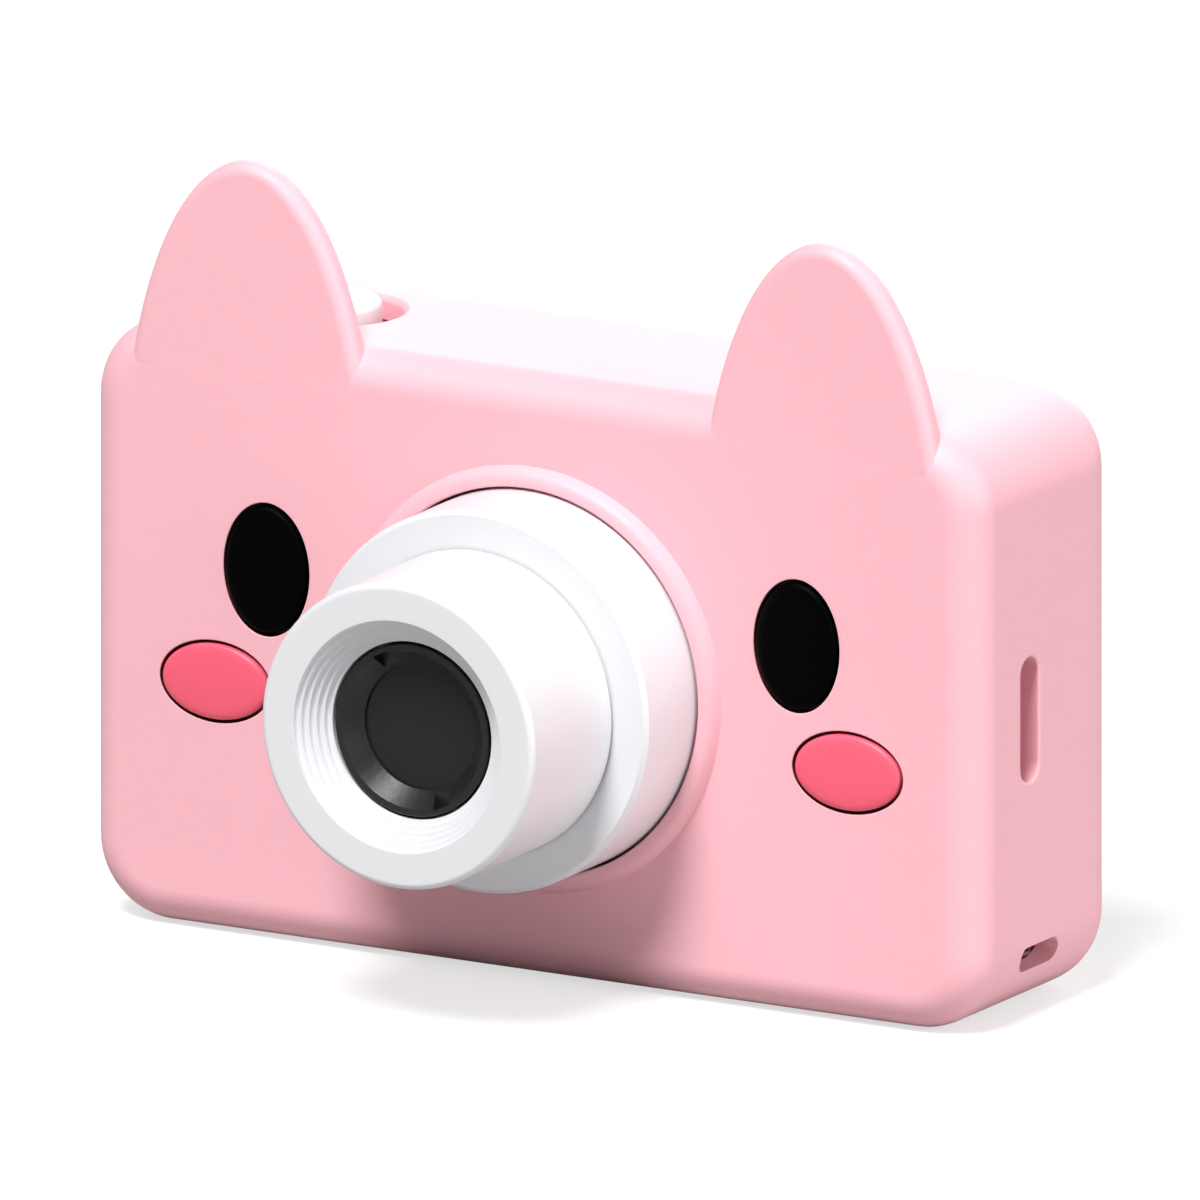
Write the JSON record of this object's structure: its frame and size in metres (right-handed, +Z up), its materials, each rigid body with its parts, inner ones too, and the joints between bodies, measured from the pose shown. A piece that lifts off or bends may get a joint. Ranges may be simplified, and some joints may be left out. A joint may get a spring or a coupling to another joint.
{
  "type": "kids digital camera",
  "caption": "Toy digital camera in a soft eared sleeve with a plain round-eyed face, stepped lens snout, top shutter button and rear screen with keys.",
  "frame": {"origin": "middle of the sleeve's flat underside, under the middle of its depth", "axes": "+X to the viewer's right when looking at the face, +Y from the lens to the screen, +Z up"},
  "size_m": [0.1028, 0.0565, 0.08],
  "materials": {
    "sleeve": "soft matt silicone",
    "eye": "smooth black",
    "cheek": "smooth hot pink",
    "case": "moulded pink",
    "white": "smooth white",
    "clear": "clear, dark behind",
    "black": "moulded black",
    "board": "solder mask",
    "steel": "plain steel",
    "panel": "dark display",
    "flex": "amber film",
    "foil": "foil pouch"
  },
  "bodies": {
    "camera": {"battery": "foil", "board_screw_1": "steel", "board_screw_2": "steel", "card_socket": "steel", "case_screw_1": "steel", "case_screw_2": "steel", "case_screw_3": "steel", "case_screw_4": "steel", "cheek_left": "cheek", "cheek_right": "cheek", "down_switch": "black", "eye_left": "eye", "eye_right": "eye", "front_shell": "case", "image_sensor": "panel", "key_board": "board", "key_screw_1": "steel", "key_screw_2": "steel", "left_switch": "black", "lens_barrel": "white", "lens_cell": "black", "lens_element": "clear", "lens_holder": "black", "lens_nose": "white", "lens_retaining_ring": "black", "lens_window": "clear", "main_board": "board", "microphone": "steel", "mode_switch": "black", "nose_screw_1": "steel", "nose_screw_2": "steel", "nose_screw_3": "steel", "ok_switch": "black", "port_board": "board", "port_shell": "steel", "port_tongue": "black", "power_switch": "black", "processor": "black", "rear_shell": "case", "right_switch": "black", "screen_frame": "black", "screen_panel": "panel", "screen_window": "clear", "sensor_board": "board", "sensor_flex": "flex", "sensor_screw_1": "steel", "sensor_screw_2": "steel", "shutter_board": "board", "shutter_switch": "black", "silicone_sleeve": "sleeve", "speaker": "black", "up_switch": "black"},
    "shutter_button": {"shutter_button": "white"},
    "ok_key": {"ok_key": "white"},
    "left_key": {"left_key": "white"},
    "up_key": {"up_key": "white"},
    "right_key": {"right_key": "white"},
    "down_key": {"down_key": "white"},
    "power_key": {"power_key": "white"},
    "mode_key": {"mode_key": "white"}
  },
  "joints": [
    {"name": "shutter_press", "type": "slide", "parent": "camera", "child": "shutter_button", "axis": [0, 0, -1], "range_m": [0, 0.0008], "stiffness_N_per_m": 900, "springref_m": -0.0004},
    {"name": "ok_press", "type": "slide", "parent": "camera", "child": "ok_key", "axis": [0, -1, 0], "range_m": [0, 0.0006], "stiffness_N_per_m": 900, "springref_m": -0.0004},
    {"name": "left_press", "type": "slide", "parent": "camera", "child": "left_key", "axis": [0, -1, 0], "range_m": [0, 0.0006], "stiffness_N_per_m": 900, "springref_m": -0.0004},
    {"name": "up_press", "type": "slide", "parent": "camera", "child": "up_key", "axis": [0, -1, 0], "range_m": [0, 0.0006], "stiffness_N_per_m": 900, "springref_m": -0.0004},
    {"name": "right_press", "type": "slide", "parent": "camera", "child": "right_key", "axis": [0, -1, 0], "range_m": [0, 0.0006], "stiffness_N_per_m": 900, "springref_m": -0.0004},
    {"name": "down_press", "type": "slide", "parent": "camera", "child": "down_key", "axis": [0, -1, 0], "range_m": [0, 0.0006], "stiffness_N_per_m": 900, "springref_m": -0.0004},
    {"name": "power_press", "type": "slide", "parent": "camera", "child": "power_key", "axis": [0, -1, 0], "range_m": [0, 0.0006], "stiffness_N_per_m": 900, "springref_m": -0.0004},
    {"name": "mode_press", "type": "slide", "parent": "camera", "child": "mode_key", "axis": [0, -1, 0], "range_m": [0, 0.0006], "stiffness_N_per_m": 900, "springref_m": -0.0004}
  ]
}
